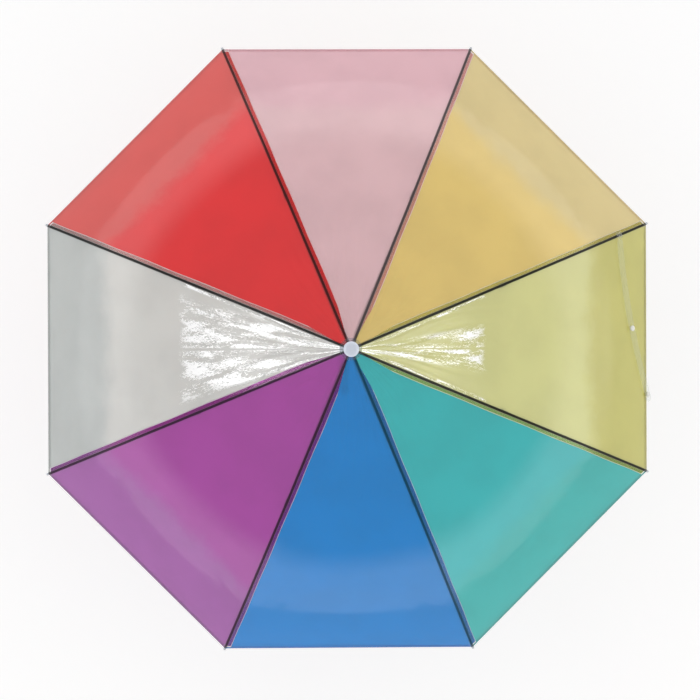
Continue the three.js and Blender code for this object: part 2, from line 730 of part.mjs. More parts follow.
function handleSolid() {
  const bend = Math.PI * HOOK_RADIUS;
  const end = 2 * GRIP_HALF_LENGTH + bend + HOOK_END;
  const stations = [
    0,
    ...evenStations(2 * GRIP_HALF_LENGTH, 2 * GRIP_HALF_LENGTH + bend, 14),
    ...[1, 0.5, 0.15, 0].map((share) => end - HOOK_TIP_RADIUS * share),
  ];
  const rod = swept(circle(GRIP_RADIUS, 14), stations, hookPoint);
  const depth = GRIP_HALF_LENGTH - SHAFT_BOTTOM + GAP;
  const bore = new THREE.CylinderGeometry(BORE_RADIUS, BORE_RADIUS, depth + OVERCUT, 20).rotateX(Math.PI / 2);
  bore.translate(0, 0, GRIP_HALF_LENGTH + (OVERCUT - depth) / 2);
  return cut(rod, bore);
}

function collarSolid() {
  const bottom = GRIP_HALF_LENGTH + GAP;
  const top = bottom + COLLAR_LENGTH;
  const outline = [
    [BORE_RADIUS, bottom],
    [GRIP_RADIUS, bottom],
    [GRIP_RADIUS, bottom + COLLAR_BAND],
    [COLLAR_TOP_RADIUS, top - COLLAR_CHAMFER],
    [COLLAR_TOP_RADIUS - COLLAR_CHAMFER, top],
    [BORE_RADIUS, top],
    [BORE_RADIUS, bottom],
  ];
  return turned(outline, ROUND_SIDES);
}

// ---------------------------------------------------------------- assembly
add(umbrella, 'shaft', shaftTube(), steelBright);
add(umbrella, 'top_notch', topNotch(), plasticWhite);
add(umbrella, 'notch_wire', pivotWire(CROWN_HEIGHT), steelBright);
add(umbrella, 'crown_washer', crownWasher(), filmClear);
add(umbrella, 'ferrule_cap', ferruleCap(), plasticWhite);
add(umbrella, 'runner', runnerBody(), plasticWhite);
add(umbrella, 'runner_wire', pivotWire(RUNNER_OPEN), steelBright);
add(umbrella, 'upper_catch', springCatch(UPPER_CATCH_HEIGHT, true), steelBright);
add(umbrella, 'lower_catch', springCatch(LOWER_CATCH_HEIGHT, false), steelBright);
add(umbrella, 'handle_collar', collarSolid(), plasticWhite);
const handle = add(umbrella, 'handle', handleSolid(), plasticWhite);
handle.rotation.z = radians(HOOK_AZIMUTH);

for (let i = 0; i < RIB_COUNT; i++) {
  const arm = new THREE.Group();
  arm.rotation.z = ribAzimuth(i);
  umbrella.add(arm);
  add(arm, `rib_${i + 1}`, ribSolid(), steelBlack);
  addTip(arm, `rib_tip_${i + 1}`);
  add(arm, `rib_clip_${i + 1}`, clipSolid(), steelBlack);
  addStretcher(arm, `stretcher_${i + 1}`);
  if (i === 0) {
    add(arm, 'strap_tab', tabSolid(), filmClear);
  }
}

Object.entries(FILM_COLOURS).forEach(([name, colour], i) => {
  const panel = add(umbrella, `panel_${name}`, panelSolid(), finish(colour, 0.2));
  panel.rotation.z = radians(STEP * (i + 1));
});

add(umbrella, 'closing_strap', strapSolid(), filmClear);
addSnap(umbrella, 'snap_stud', SNAP_STATIONS[0]);
addSnap(umbrella, 'snap_socket', SNAP_STATIONS[1]);

export default umbrella;
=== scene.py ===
"""Looks for the children's umbrella: eight welded film panels over a folding steel frame."""

import math

import bpy
import numpy as np
from mathutils import Matrix, Vector


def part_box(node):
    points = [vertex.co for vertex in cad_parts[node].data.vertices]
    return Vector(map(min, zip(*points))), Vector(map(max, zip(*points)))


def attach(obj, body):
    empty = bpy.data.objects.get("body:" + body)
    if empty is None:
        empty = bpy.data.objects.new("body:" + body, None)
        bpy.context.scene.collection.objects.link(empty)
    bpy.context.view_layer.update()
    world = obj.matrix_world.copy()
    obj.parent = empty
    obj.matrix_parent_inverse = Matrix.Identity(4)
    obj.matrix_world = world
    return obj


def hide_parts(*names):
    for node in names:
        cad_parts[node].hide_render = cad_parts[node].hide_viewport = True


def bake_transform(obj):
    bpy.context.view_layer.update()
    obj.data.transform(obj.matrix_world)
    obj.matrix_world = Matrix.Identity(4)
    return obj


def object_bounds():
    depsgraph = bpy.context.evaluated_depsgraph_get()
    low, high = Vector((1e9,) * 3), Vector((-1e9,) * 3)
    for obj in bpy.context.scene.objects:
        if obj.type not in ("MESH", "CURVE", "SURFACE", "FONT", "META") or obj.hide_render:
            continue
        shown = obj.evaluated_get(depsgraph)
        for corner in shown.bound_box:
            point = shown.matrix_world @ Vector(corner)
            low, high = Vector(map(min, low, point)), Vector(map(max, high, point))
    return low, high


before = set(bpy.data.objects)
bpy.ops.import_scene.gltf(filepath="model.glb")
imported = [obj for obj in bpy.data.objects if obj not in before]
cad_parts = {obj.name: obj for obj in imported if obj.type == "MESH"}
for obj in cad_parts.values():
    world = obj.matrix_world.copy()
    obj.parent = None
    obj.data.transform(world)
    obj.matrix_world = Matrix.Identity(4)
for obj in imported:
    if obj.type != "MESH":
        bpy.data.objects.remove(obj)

cad_low, cad_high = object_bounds()

# ------------------------------------------------------------------ sizes, in metres
RIB_COUNT = 8
STEP = 2 * math.pi / RIB_COUNT
HALF_STEP = STEP / 2
RIB_LENGTH = 0.5
SLOPE_TOP = math.radians(13)
SLOPE_TIP = math.radians(47)
BEND = RIB_LENGTH / (SLOPE_TIP - SLOPE_TOP)
PIVOT_RADIUS = 0.009
CROWN_HEIGHT = 0.575
RIB_WIDTH = 0.0032
RIB_HEIGHT = 0.0026
CHANNEL_WALL = 0.0005
PIN_RADIUS = 0.00105
EYE_RADIUS = 0.0018
EYE_HOLE = 0.0009
EYE_THICKNESS = 0.0014
TIP_RADIUS = 0.0019
TIP_LENGTH = 0.017
TIP_REACH = 0.0075
TIP_BORE_RADIUS = 0.0014
TIP_BORE_DEPTH = 0.0085

FILM_OFFSET = RIB_HEIGHT / 2 + 0.0009
CROWN_LIFT = 0.0016
CROWN_LIFT_REACH = 0.020
FILM_CAD_THICKNESS = 0.0008
FILM_THICKNESS = 0.00035
FILM_SAG = 0.004
FILM_START = -0.0026
FLAP_WIDTH = 0.007
FLAP_STEPS = (0.00045, 0.0012, 0.0026, 0.0042, 0.0058, FLAP_WIDTH)
FLAP_LIFT = 0.00045
HEM_WIDTH = 0.005
SEAM_GAP = 0.0002

# The open stretcher: its slope, the distance between its pivots, and its inner pivot's height.
LINK_ANGLE = math.radians(21.506)
LINK_LENGTH = 0.213891
RUNNER_OPEN = 0.418177
LINK_WIDTH = 0.0028
LINK_HEIGHT = 0.0022

SHAFT_RADIUS = 0.004
SHAFT_INNER_RADIUS = 0.0034
SLOT_HALF_WIDTH = 0.0011
SLOT_HALF_HEIGHT = 0.0058
# The bore of the cap, the washer, the collar and the handle, which are pushed over the shaft.
BORE_RADIUS = 0.0043
WASHER_SEAT_RADIUS = 0.014
CAP_SKIRT_RADIUS = 0.0085
CAP_NECK_RADIUS = 0.0062
CAP_HEAD_RADIUS = 0.0095
CAP_EDGE_ROUND = 0.004
CAP_BORE_TOP = CROWN_HEIGHT + 0.0293
COLLAR_RADIUS = 0.0100

STRAP_LENGTH = 0.230
STRAP_WIDTH = 0.0125
STRAP_STATION = 0.432
STRAP_LIFT = 0.002
STRAP_THICKNESS = 0.0006
STRAP_MIDDLE = 0.0004
STRAP_CORNER = 0.004
STRAP_TURN_START = math.radians(9)
STRAP_TURN_END = math.radians(28)
TAB_LENGTH = 0.011
TAB_WIDTH = 0.009
SNAP_STATIONS = (0.122, 0.219)

GRIP_RADIUS = 0.010
GRIP_HALF_LENGTH = 0.045
HOOK_RADIUS = 0.032
HOOK_TIP_RADIUS = 0.0086
HOOK_END = 0.014
HANDLE_BORE_BOTTOM = -0.0383


# ------------------------------------------------------------------ node helpers
class Shader:
    """A material under construction; each call adds one node and returns its output."""

    def __init__(self, name):
        self.material = bpy.data.materials.new(name)
        self.material.use_nodes = True
        self.tree = self.material.node_tree
        self.tree.nodes.clear()

    def node(self, kind, inputs=None, **settings):
        made = self.tree.nodes.new(kind)
        for key, value in settings.items():
            setattr(made, key, value)
        for key, value in (inputs or {}).items():
            if isinstance(value, bpy.types.NodeSocket):
                self.tree.links.new(value, made.inputs[key])
            else:
                made.inputs[key].default_value = value
        return made

    def math(self, operation, first, second=0.0, clamp=False):
        made = self.node("ShaderNodeMath", {0: first, 1: second}, operation=operation)
        made.use_clamp = clamp
        return made.outputs[0]

    def noise(self, place, scale, detail=2.0, roughness=0.5, distortion=0.0):
        inputs = {
            "Vector": place,
            "Scale": scale,
            "Detail": detail,
            "Roughness": roughness,
            "Distortion": distortion,
        }
        return self.node("ShaderNodeTexNoise", inputs).outputs["Fac"]

    def span(self, value, low, high, out_low=0.0, out_high=1.0):
        inputs = {0: value, 1: low, 2: high, 3: out_low, 4: out_high}
        made = self.node("ShaderNodeMapRange", inputs, interpolation_type="SMOOTHSTEP")
        return made.outputs[0]

    def blend(self, share, first, second):
        """Mixes two colours, which are sockets 6 and 7 of the node; the result is output 2."""
        made = self.node("ShaderNodeMix", data_type="RGBA")
        for index, value in ((0, share), (6, first), (7, second)):
            if isinstance(value, bpy.types.NodeSocket):
                self.tree.links.new(value, made.inputs[index])
            else:
                made.inputs[index].default_value = value
        return made.outputs[2]

    def bump(self, height, strength, distance, normal=None):
        inputs = {"Height": height, "Strength": strength, "Distance": distance}
        if normal is not None:
            inputs["Normal"] = normal
        return self.node("ShaderNodeBump", inputs).outputs[0]

    def finish(self, surface):
        self.node("ShaderNodeOutputMaterial", {"Surface": surface})
        return self.material


def colour(red, green, blue):
    return (red, green, blue, 1.0)


def shaded(tone, amount):
    return colour(*(channel * amount for channel in tone[:3]))


# ------------------------------------------------------------------ materials
def plastic(name, tone, roughness, grain=420.0, see_through=0.0):
    """Moulded plastic: faint flow marks, a fine grain and rubbed high spots."""
    shader = Shader(name)
    place = shader.node("ShaderNodeTexCoord").outputs["Object"]
    flow = shader.noise(place, 35.0, 3.0, 0.5, 0.6)
    speck = shader.noise(place, grain * 3, 2.0)
    wear = shader.span(shader.noise(place, grain / 4, 4.0, 0.65), 0.55, 0.75)
    base = shader.blend(shader.span(flow, 0.3, 0.7), shaded(tone, 0.95), tone)
    base = shader.blend(shader.math("MULTIPLY", wear, 0.25), base, shaded(tone, 0.84))
    rough = shader.span(shader.noise(place, grain, 2.0), 0.25, 0.75, roughness * 0.8, roughness * 1.3)
    height = shader.math("ADD", flow, shader.math("MULTIPLY", speck, 0.12))
    inputs = {
        "Base Color": base,
        "Roughness": rough,
        "IOR": 1.49,
        "Normal": shader.bump(height, 0.18, 0.0004),
    }
    body = shader.node("ShaderNodeBsdfPrincipled", inputs).outputs[0]
    if see_through:
        glow = shader.node("ShaderNodeBsdfTranslucent", {"Color": base}).outputs[0]
        body = shader.node("ShaderNodeMixShader", {0: 0.45, 1: body, 2: glow}).outputs[0]
        clear = shader.node("ShaderNodeBsdfTransparent", {"Color": tone}).outputs[0]
        body = shader.node("ShaderNodeMixShader", {0: see_through, 1: body, 2: clear}).outputs[0]
    return shader.finish(body)


def steel(name, tone, roughness, metallic, rub):
    """Drawn steel: lengthwise drawing lines, small scuffs and rubbed patches."""
    shader = Shader(name)
    place = shader.node("ShaderNodeTexCoord").outputs["Object"]
    stretch = {"Vector": place, "Scale": (1.0, 1.0, 0.06)}
    lines = shader.node("ShaderNodeMapping", stretch, vector_type="POINT").outputs[0]
    drawn = shader.noise(lines, 2600.0, 2.0, 0.6)
    scuff = shader.span(shader.noise(place, 90.0, 5.0, 0.7, 0.8), 0.56, 0.7)
    base = shader.blend(shader.span(drawn, 0.3, 0.7), shaded(tone, 0.86), tone)
    base = shader.blend(shader.math("MULTIPLY", scuff, 0.5), base, rub)
    low, high = roughness * 0.75, min(1.0, roughness * 1.5)
    inputs = {
        "Base Color": base,
        "Metallic": metallic,
        "Roughness": shader.span(shader.math("ADD", drawn, scuff), 0.3, 1.4, low, high),
        "Normal": shader.bump(drawn, 0.15, 0.0001),
    }
    return shader.finish(shader.node("ShaderNodeBsdfPrincipled", inputs).outputs[0])


def film(name, tone, hem_tone_with_painted_reflection, creases, glint_fan, painted_rib_shade):
    """Glossy see-through film: radial pull lines at the crown, a crinkled arc, and a painted
    reflection of the bright room on the outer part.

    The fifth argument is the half angle (degrees) and the reach (mm) of the painted highlights on the
    creases at the crown;
    the sixth is how much of the film's tone is left where it lies on a rib, where the darkening is
    painted shade of the rib below.
    """
    shader = Shader(name)
    place = shader.node("ShaderNodeAttribute", attribute_name="film_place").outputs["Vector"]
    split = shader.node("ShaderNodeSeparateXYZ", {0: place})
    along, across, angle = split.outputs
    # Radial pull lines: the pattern runs along the rib and is fine across it.
    fan = {"X": shader.math("MULTIPLY", angle, 0.55), "Y": shader.math("MULTIPLY", along, 0.022)}
    fan_place = shader.node("ShaderNodeCombineXYZ", fan).outputs[0]
    pulls = shader.noise(fan_place, 1.0, 4.0, 0.62, 1.1)
    fine = {"X": shader.math("MULTIPLY", across, 0.55), "Y": shader.math("MULTIPLY", along, 0.16)}
    fine_place = shader.node("ShaderNodeCombineXYZ", fine).outputs[0]
    streaks = shader.noise(fine_place, 1.0, 4.0, 0.7, 1.6)
    near_crown = shader.span(along, 150.0, 235.0, 1.0, 0.06)
    pull_height = shader.math("ADD", shader.math("MULTIPLY", pulls, 0.8), streaks)
    pull_height = shader.math("MULTIPLY", pull_height, near_crown)
    # The crinkled arc, three quarters of the way to the hem.
    wander = shader.math("MULTIPLY", shader.noise(place, 0.035, 3.0, 0.6), 34.0)
    arc_place = shader.math("ADD", along, wander)
    rise = shader.span(arc_place, 366.0, 392.0)
    fall = shader.span(arc_place, 392.0, 430.0, 1.0, 0.12)
    arc = shader.math("MULTIPLY", rise, fall)
    crinkle = shader.noise(place, 0.11, 4.0, 0.65, 1.4)
    arc_height = shader.math("MULTIPLY", shader.math("MULTIPLY", crinkle, arc), 0.8)
    soft = shader.math("MULTIPLY", shader.noise(place, 0.02, 3.0, 0.5), 0.5)
    height = shader.math("ADD", shader.math("ADD", pull_height, arc_height), soft)
    normal = shader.bump(height, creases, 0.0006)
    # Painted reflection: towards the hem the film is painted in its hem colour, standing in for the
    # bright room seen in the steeper outer slope, with a soft, uneven edge.
    painted_reflection_share = shader.span(arc_place, 372.0, 410.0)
    mottle = shader.span(shader.noise(place, 0.012, 4.0, 0.6), 0.35, 0.65, 0.975, 1.015)
    painted_reflection_tone = shader.blend(painted_reflection_share, tone, hem_tone_with_painted_reflection)
    # The welded edge strip is doubled film, so deeper in tone. Over the rib the film's colour is
    # painted dark: painted shade of the black rib below.
    seam = seam_distance(shader, across, angle)
    deeper = shader.span(seam, -2.6, -2.0, 1.3, 1.0)
    adjust = {"Saturation": deeper, "Value": mottle, "Color": painted_reflection_tone}
    base = shader.node("ShaderNodeHueSaturation", adjust).outputs[0]
    rib_shade_mask = shader.span(shader.math("ABSOLUTE", seam), 1.2, 2.1, 0.93, 0.0)
    base = shader.blend(rib_shade_mask, base, shaded(tone, painted_rib_shade))
    coverage = shader.span(seam, -2.6, -2.0, 0.26, 0.42)
    inputs = {
        "Base Color": base,
        "Roughness": shader.span(streaks, 0.3, 0.7, 0.08, 0.2),
        "IOR": 1.54,
        "Normal": normal,
    }
    gloss = shader.node("ShaderNodeBsdfPrincipled", inputs).outputs[0]
    glow = shader.node("ShaderNodeBsdfTranslucent", {"Color": base}).outputs[0]
    clear = shader.node("ShaderNodeBsdfTransparent", {"Color": base}).outputs[0]
    body = shader.node("ShaderNodeMixShader", {0: 0.45, 1: gloss, 2: glow}).outputs[0]
    body = shader.node("ShaderNodeMixShader", {0: coverage, 1: clear, 2: body}).outputs[0]
    shine = {"Color": colour(1.0, 1.0, 1.0), "Roughness": 0.045, "Normal": normal}
    shine = shader.node("ShaderNodeBsdfGlossy", shine).outputs[0]
    facing = shader.node("ShaderNodeLayerWeight", {"Normal": normal}).outputs["Facing"]
    rim = shader.math("MULTIPLY", shader.math("POWER", facing, 5.0), 0.96)
    dulled = shader.math("SUBTRACT", 1.0, shader.math("MULTIPLY", rib_shade_mask, 0.9))
    edge = shader.math("MULTIPLY", shader.math("ADD", rim, 0.04), dulled)
    body = shader.node("ShaderNodeMixShader", {0: edge, 1: body, 2: shine}).outputs[0]
    # Painted highlights on the creases: their white is half a painted matte white and half a rough
    # gloss that catches the lamps.
    marks = painted_crease_glints(shader, along, angle, seam, glint_fan)
    matte = shader.node("ShaderNodeBsdfDiffuse", {"Color": colour(0.97, 0.97, 0.97)}).outputs[0]
    sparkle = {"Color": colour(1.0, 1.0, 1.0), "Roughness": 0.38}
    sparkle = shader.node("ShaderNodeBsdfGlossy", sparkle).outputs[0]
    white = shader.node("ShaderNodeMixShader", {0: 0.5, 1: matte, 2: sparkle}).outputs[0]
    body = shader.node("ShaderNodeMixShader", {0: marks, 1: body, 2: white}).outputs[0]
    return shader.finish(body)


def seam_distance(shader, across, angle):
    """How far (mm) a point lies inside its panel's seam; below zero on the welded edge strip."""
    share = shader.math("DIVIDE", math.degrees(HALF_STEP), shader.math("ABSOLUTE", angle))
    beyond = shader.math("SUBTRACT", share, 1.0)
    return shader.math("MULTIPLY", beyond, shader.math("ABSOLUTE", across))


def painted_crease_glints(shader, along, angle, seam, glint_fan):
    """Painted highlights: fine broken white marks where the folded film has creased, in fans and
    beside the seams, standing in for crinkles that catch the lamps.
    """
    half_angle, reach = glint_fan
    bit_place = {"X": angle, "Y": shader.math("MULTIPLY", along, 0.085)}
    bit_place = shader.node("ShaderNodeCombineXYZ", bit_place).outputs[0]
    bits = shader.noise(bit_place, 1.6, 4.0, 0.72, 1.7)
    patch_place = {
        "X": shader.math("MULTIPLY", angle, 0.22),
        "Y": shader.math("MULTIPLY", along, 0.014),
    }
    patch_place = shader.node("ShaderNodeCombineXYZ", patch_place).outputs[0]
    patches = shader.math("MULTIPLY", shader.noise(patch_place, 1.0, 2.0, 0.5, 0.5), 0.9)
    level = shader.math("ADD", bits, patches)
    level = shader.math("ADD", level, shader.span(along, 15.0, 120.0, -0.075, 0.0))
    offset = shader.math("ABSOLUTE", angle)
    fan = shader.span(offset, half_angle - 4.0, half_angle, 1.0, 0.0)
    fold = shader.span(offset, 0.25, 0.8)
    near, far = shader.span(seam, 2.2, 3.0), shader.span(seam, 5.0, 8.0, 1.0, 0.0)
    beside = shader.math("MULTIPLY", near, far)
    zone = shader.math("MAXIMUM", shader.math("MULTIPLY", fan, fold), beside)
    small, large = shader.math("MULTIPLY", bits, 40.0), shader.math("MULTIPLY", patches, 70.0)
    ragged = shader.math("ADD", along, shader.math("ADD", small, large))
    zone = shader.math("MULTIPLY", zone, shader.span(ragged, reach, reach + 6.0, 1.0, 0.0))
    sharp = shader.span(level, 0.955, 1.0)
    # A pale painted highlight along the outer edge of the welded strip.
    rim = shader.span(seam, -6.9, -5.9, 0.35, 0.0)
    return shader.math("MAXIMUM", shader.math("MULTIPLY", sharp, zone), rim)


# Each film's colour over most of the panel, and its colour near the hem, which holds painted light: a
# painted reflection of the bright room on the steeper outer slope, paler on most panels.
FILM_LOOKS = {
    "amber": (colour(0.90, 0.77, 0.39), colour(0.86, 0.77, 0.49)),
    "pink": (colour(0.88, 0.70, 0.72), colour(0.88, 0.67, 0.71)),
    "red": (colour(0.90, 0.08, 0.09), colour(0.86, 0.24, 0.22)),
    "clear": (colour(0.82, 0.82, 0.80), colour(0.72, 0.74, 0.73)),
    "purple": (colour(0.62, 0.18, 0.59), colour(0.60, 0.28, 0.62)),
    "blue": (colour(0.00, 0.44, 0.80), colour(0.00, 0.44, 0.80)),
    "teal": (colour(0.13, 0.69, 0.70), colour(0.15, 0.68, 0.66)),
    "lime": (colour(0.84, 0.84, 0.52), colour(0.77, 0.75, 0.37)),
}
# The sides of each panel whose welded edge lies on top of its neighbour.
FLAPS = {
    "amber": (),
    "pink": (-1,),
    "red": (-1,),
    "clear": (-1,),
    "purple": (-1, 1),
    "blue": (1,),
    "teal": (),
    "lime": (-1, 1),
}
# How strong the pull lines are; the plain value is for the panels that aren't named.
PLAIN_CREASES = 0.22
CREASES = {"clear": 0.6, "lime": 0.6}
# The half angle (degrees) and the reach (mm) of each panel's painted highlights on its creases.
PLAIN_GLINT_FAN = (5.0, 45.0)
GLINT_FANS = {"clear": (19.0, 292.0), "lime": (11.0, 236.0)}
# How much of the film's tone is left where it lies on a rib, where the darkening is painted shade of
# the rib below.
PLAIN_PAINTED_RIB_SHADE = 0.22
PAINTED_RIB_SHADES = {"clear": 0.02, "lime": 0.03, "blue": 0.5, "pink": 0.3}

paint, bare_steel = colour(0.012, 0.012, 0.013), colour(0.62, 0.64, 0.66)
rubbed_paint, dull_steel = colour(0.05, 0.05, 0.052), colour(0.45, 0.46, 0.48)
black_steel = steel("black_steel_look", paint, 0.38, 0.35, rubbed_paint)
bright_steel = steel("bright_steel_look", bare_steel, 0.24, 1.0, dull_steel)
white_plastic = plastic("white_plastic_look", colour(0.76, 0.81, 0.92), 0.32)
grip_plastic = plastic("grip_plastic_look", colour(0.78, 0.79, 0.80), 0.30, 300.0)
tip_plastic = plastic("tip_plastic_look", colour(0.55, 0.58, 0.62), 0.35)
washer_film = plastic("washer_look", colour(0.88, 0.90, 0.92), 0.18, 600.0, 0.92)
strap_film = plastic("strap_look", colour(0.97, 0.98, 0.97), 0.20, 500.0, 0.88)
snap_plastic = plastic("snap_look", colour(0.92, 0.92, 0.88), 0.30)


# ------------------------------------------------------------------ mesh helpers
def new_piece(name, points, faces, material, smooth=True):
    mesh = bpy.data.meshes.new(name)
    mesh.from_pydata([tuple(point) for point in points], [], faces)
    mesh.polygons.foreach_set("use_smooth", [smooth] * len(faces))
    mesh.materials.append(material)
    mesh.update()
    made = bpy.data.objects.new(name, mesh)
    bpy.context.scene.collection.objects.link(made)
    return made


def grid_faces(rows, columns, start=0, closed=False):
    faces = []
    turns = columns if closed else columns - 1
    for row in range(rows - 1):
        for column in range(turns):
            beside = (column + 1) % columns
            low = start + row * columns
            high = low + columns
            faces.append((low + column, low + beside, high + beside, high + column))
    return faces


def tube_faces(rows, columns):
    """Side faces of a closed section carried through rows, with both ends shut."""
    faces = grid_faces(rows, columns, 0, True)
    faces.append(tuple(reversed(range(columns))))
    faces.append(tuple((rows - 1) * columns + i for i in range(columns)))
    return faces


def turned(name, profile, material, sides=64):
    """A closed profile of (radius, height) turned about the Z axis; radius 0 makes a pole."""
    points = []
    rings = []
    for radius, height in profile:
        if radius < 1e-9:
            rings.append([len(points)])
            points.append((0.0, 0.0, height))
            continue
        rings.append(list(range(len(points), len(points) + sides)))
        for i in range(sides):
            angle = 2 * math.pi * i / sides
            points.append((radius * math.cos(angle), radius * math.sin(angle), height))
    faces = []
    for low, high in zip(rings, rings[1:] + rings[:1]):
        if len(low) == 1 and len(high) == 1:
            continue
        for i in range(sides):
            j = (i + 1) % sides
            lower = [low[i % len(low)], low[j % len(low)]]
            upper = [high[j % len(high)], high[i % len(high)]]
            faces.append(tuple(dict.fromkeys(lower + upper)))
    made = new_piece(name, points, faces, material)
    return sharpened(made)


def sharpened(made, angle=35.0):
    """Marks the hard edges, so that turned shoulders stay crisp on a smooth shade."""
    mesh = made.data
    mesh.update()
    normals = [tuple(polygon.normal) for polygon in mesh.polygons]
    beside = {}
    for polygon in mesh.polygons:
        for key in polygon.edge_keys:
            beside.setdefault(key, []).append(polygon.index)
    limit = math.cos(math.radians(angle))
    sharp = []
    for edge in mesh.edges:
        pair = beside.get(edge.key, [])
        is_sharp = len(pair) == 2 and np.dot(normals[pair[0]], normals[pair[1]]) < limit
        sharp.append(is_sharp)
    mesh.attributes.new("sharp_edge", "BOOLEAN", "EDGE").data.foreach_set("value", sharp)
    return made


def rounded(corners, reach, steps=4):
    """A profile with each (x, y, keep) corner rounded, unless keep is true."""
    result = []
    count = len(corners)
    for i, corner in enumerate(corners):
        here = np.array(corner[:2])
        if len(corner) > 2:
            result.append(tuple(here))
            continue
        before = np.array(corners[i - 1][:2])
        after = np.array(corners[(i + 1) % count][:2])
        size_before = np.linalg.norm(before - here)
        size_after = np.linalg.norm(after - here)
        cut = min(reach, size_before * 0.45, size_after * 0.45)
        first = here + (before - here) / size_before * cut
        last = here + (after - here) / size_after * cut
        for k in range(steps + 1):
            t = k / steps
            point = (1 - t) ** 2 * first + 2 * t * (1 - t) * here + t * t * last
            result.append(tuple(point))
    return result


def bevelled(made, width, segments=2):
    softened = made.modifiers.new("edges", "BEVEL")
    softened.width = width
    softened.segments = segments
    softened.limit_method = "ANGLE"
    softened.angle_limit = math.radians(30)
    return made


def thickened(made, thickness):
    solid = made.modifiers.new("thickness", "SOLIDIFY")
    solid.thickness = thickness
    solid.offset = 0.0
    return made


def arch(along, offset=0.0):
    """How far out and how high, along a rib and outward from its middle line."""
    slope = SLOPE_TOP + along / BEND
    out = PIVOT_RADIUS + BEND * (np.sin(slope) - math.sin(SLOPE_TOP)) + offset * np.sin(slope)
    up = CROWN_HEIGHT - BEND * (math.cos(SLOPE_TOP) - np.cos(slope)) + offset * np.cos(slope)
    return out, up, slope


def rib_azimuth(index):
    return STEP * (index + 0.5)


def turn(points, azimuth):
    points = np.asarray(points, float)
    cos, sin = math.cos(azimuth), math.sin(azimuth)
    x = points[:, 0] * cos - points[:, 1] * sin
    y = points[:, 0] * sin + points[:, 1] * cos
    return np.stack([x, y, points[:, 2]], 1)


# ------------------------------------------------------------------ film panels
def film_offset(along):
    return FILM_OFFSET + CROWN_LIFT * np.exp(-np.maximum(along, 0.0) / CROWN_LIFT_REACH)


def film_place(along, across, outward):
    """A point of a panel whose middle is on the X axis."""
    out, up, slope = arch(along, film_offset(along) + outward)
    half = out * math.sin(HALF_STEP)
    share = np.clip(along / RIB_LENGTH, 0.0, 1.0)
    dip = FILM_SAG * np.sin(np.pi * share) * (1 - (across / half) ** 2)
    x = out * math.cos(HALF_STEP) - dip * np.sin(slope)
    return np.stack([x, across, up - dip * np.cos(slope)], -1)


def ripple(along, share, seed, strength):
    """Small waves of the film, outward in metres; none at the seams and the hem."""
    inward = np.clip((1 - np.abs(share)) / 0.16, 0, 1) ** 2
    still = inward * np.clip((RIB_LENGTH - along) / 0.02, 0, 1)
    crown = np.exp(-((along - 0.09) / 0.10) ** 2)
    turns = 9 * share + 1.3 * np.sin(3.1 * share + 24 * along + seed)
    pulls = np.sin(2.3 * turns + seed) + 0.6 * np.sin(4.1 * turns - 2 * seed)
    lines = pulls * crown * np.clip(along / 0.04, 0, 1)
    bow = along + 0.012 * np.cos(1.5 * share) + 0.006 * np.sin(5 * share + seed)
    ring = np.exp(-((bow - 0.385) / 0.020) ** 2)
    knots = np.sin(26 * share + 1.7 * seed) * np.sin(160 * along + 7 * share + seed)
    corner = np.clip((along - 0.40) / 0.08, 0, 1) * np.abs(share) ** 3
    gathers = np.sin(90 * along + 21 * np.abs(share) + seed) * corner
    broad = np.sin(2.2 * share + 11 * along + 2.1 * seed) * np.sin(9 * along + seed)
    height = 0.20 * strength * lines + 0.16 * ring * knots + 0.20 * ring
    return (height + 0.35 * gathers + 0.30 * broad) * still * 0.001


def panel_rows():
    near = np.linspace(FILM_START, 0.03, 8, endpoint=False)
    return np.concatenate([near, np.linspace(0.03, RIB_LENGTH, 118)])


def hem_path():
    """The hem folds under: (along, outward) past the last row."""
    low = -0.00045
    curve = [(RIB_LENGTH + 0.0002, low * 0.2), (RIB_LENGTH + 0.0002, low * 0.8)]
    flat = [(RIB_LENGTH - HEM_WIDTH * t, low) for t in (0.04, 0.35, 0.7, 1.0)]
    return curve + flat


def mirrored(points, side):
    """Points mirrored in the plane of the rib at a panel's side."""
    angle = 2 * side * HALF_STEP
    cos, sin = math.cos(angle), math.sin(angle)
    x = points[..., 0] * cos + points[..., 1] * sin
    y = points[..., 0] * sin - points[..., 1] * cos
    return np.stack([x, y, points[..., 2]], -1)


def panel_mesh(seed, flaps, strength):
    """Points, faces and the film's own coordinates, for a panel whose middle is on the X axis."""
    shares = np.linspace(-1, 1, 49)
    rows = panel_rows()
    along, share = np.meshgrid(rows, shares, indexing="ij")
    middle = FILM_CAD_THICKNESS / 2
    outward = middle + ripple(along, share, seed, strength)
    fold = hem_path()
    fold_along = np.array([[step[0]] * len(shares) for step in fold])
    fold_outward = np.array([[middle + step[1]] * len(shares) for step in fold])
    along = np.concatenate([along, fold_along])
    outward = np.concatenate([outward, fold_outward])
    share = np.concatenate([share, share[: len(fold)]])
    half = arch(along, film_offset(along) + outward)[0] * math.sin(HALF_STEP) - SEAM_GAP
    points = film_place(along, share * half, outward)
    places = np.stack([along, share * half, share * HALF_STEP], -1)
    faces = grid_faces(len(points), len(shares))
    blocks = [(points.reshape(-1, 3), places.reshape(-1, 3))]
    for side in flaps:
        start = sum(len(block[0]) for block in blocks)
        flap_points, flap_places, flap_faces = flap_mesh(side, rows, start)
        blocks.append((flap_points, flap_places))
        faces += flap_faces
        edge = 0 if side < 0 else len(shares) - 1
        faces += flap_seam(side, edge, len(shares), len(rows), start)
    points = np.concatenate([block[0] for block in blocks])
    places = np.concatenate([block[1] for block in blocks])
    return points, faces, places


